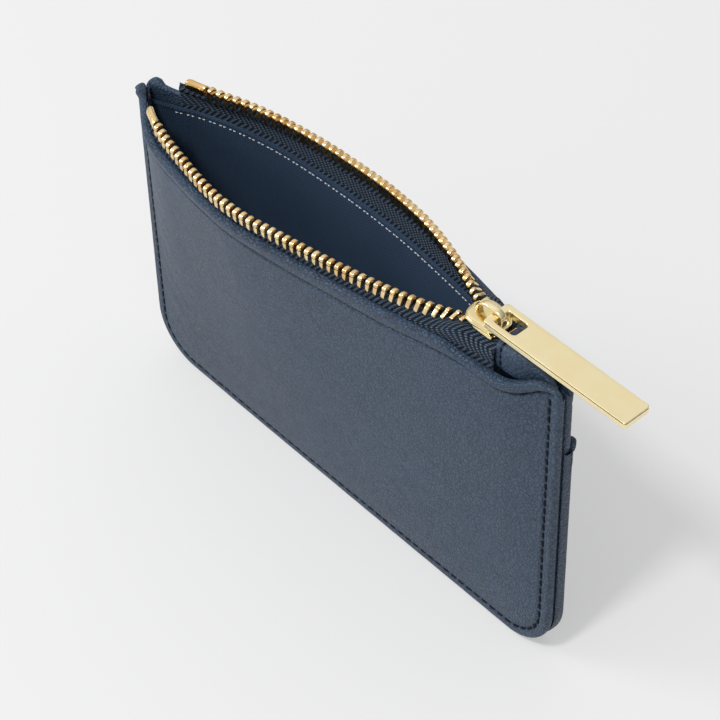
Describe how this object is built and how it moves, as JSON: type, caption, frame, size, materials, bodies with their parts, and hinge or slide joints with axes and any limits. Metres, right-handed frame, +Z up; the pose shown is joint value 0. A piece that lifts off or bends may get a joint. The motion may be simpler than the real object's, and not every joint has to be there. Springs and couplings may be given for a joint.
{
  "type": "zip-top card holder",
  "caption": "Flat zip-top card holder standing with its mouth open, leather walls, cloth lining, metal zip with bar pull, rear card pocket.",
  "frame": {"origin": "middle of the resting edge, on the plane that the card holder stands on", "axes": "+X along the length towards the zip's closed end, +Y towards the wall with the outer pocket, +Z up"},
  "size_m": [0.1492, 0.0308, 0.0889],
  "materials": {
    "skin": "fine grained, matt, slate navy",
    "interlining": "felted",
    "lining": "fine plain weave, slight sheen",
    "tape": "herringbone weave",
    "zip_metal": "polished, pale gold",
    "slider_metal": "satin, pale gold",
    "thread": "twisted thread"
  },
  "bodies": {
    "purse": {"front_panel": "skin", "front_interlining": "interlining", "front_lining": "lining", "front_zip_tape": "tape", "rear_panel": "skin", "rear_interlining": "interlining", "rear_lining": "lining", "rear_zip_tape": "tape", "rear_pocket_panel": "skin", "right_zip_end_tab": "skin", "bottom_stop": "zip_metal", "perimeter_stitching": "thread", "front_mouth_stitching": "thread", "rear_mouth_stitching": "thread", "pocket_lip_stitching": "thread", "lining_stitching": "thread", "end_tab_stitching": "thread"},
    "front_chain": {"front_teeth": "zip_metal", "front_top_stop": "zip_metal"},
    "rear_chain": {"rear_teeth": "zip_metal", "rear_top_stop": "zip_metal"},
    "slider": {"slider_body": "slider_metal", "slider_bridge": "slider_metal"},
    "pull": {"pull_bar": "slider_metal"}
  },
  "joints": [
    {"name": "slider_travel", "type": "slide", "parent": "purse", "child": "slider", "axis": [0.9995, 0.0319, 0], "range_m": [-0.088, 0]},
    {"name": "front_mouth", "type": "hinge", "parent": "purse", "child": "front_chain", "pos_m": [0, 0, 0], "axis": [1, 0, 0], "range_deg": [-9.6, 0], "deforming": ["front_teeth", "front_top_stop", "front_zip_tape", "front_panel", "front_lining", "front_interlining", "front_mouth_stitching", "perimeter_stitching", "lining_stitching"]},
    {"name": "rear_mouth", "type": "hinge", "parent": "purse", "child": "rear_chain", "pos_m": [0, 0, 0], "axis": [1, 0, 0], "range_deg": [0, 8.9], "deforming": ["rear_teeth", "rear_top_stop", "rear_zip_tape", "rear_panel", "rear_lining", "rear_interlining", "rear_pocket_panel", "rear_mouth_stitching", "pocket_lip_stitching"]},
    {"name": "pull_flip", "type": "hinge", "parent": "slider", "child": "pull", "pos_m": [0.04498, 0.00143, 0.08675], "axis": [0.0319, -0.9995, 0], "range_deg": [0, 170]}
  ],
  "couplings": [
    {"joint": "front_mouth", "follows": "slider_travel", "rad_per_m": 1.884},
    {"joint": "rear_mouth", "follows": "slider_travel", "rad_per_m": -1.745}
  ]
}
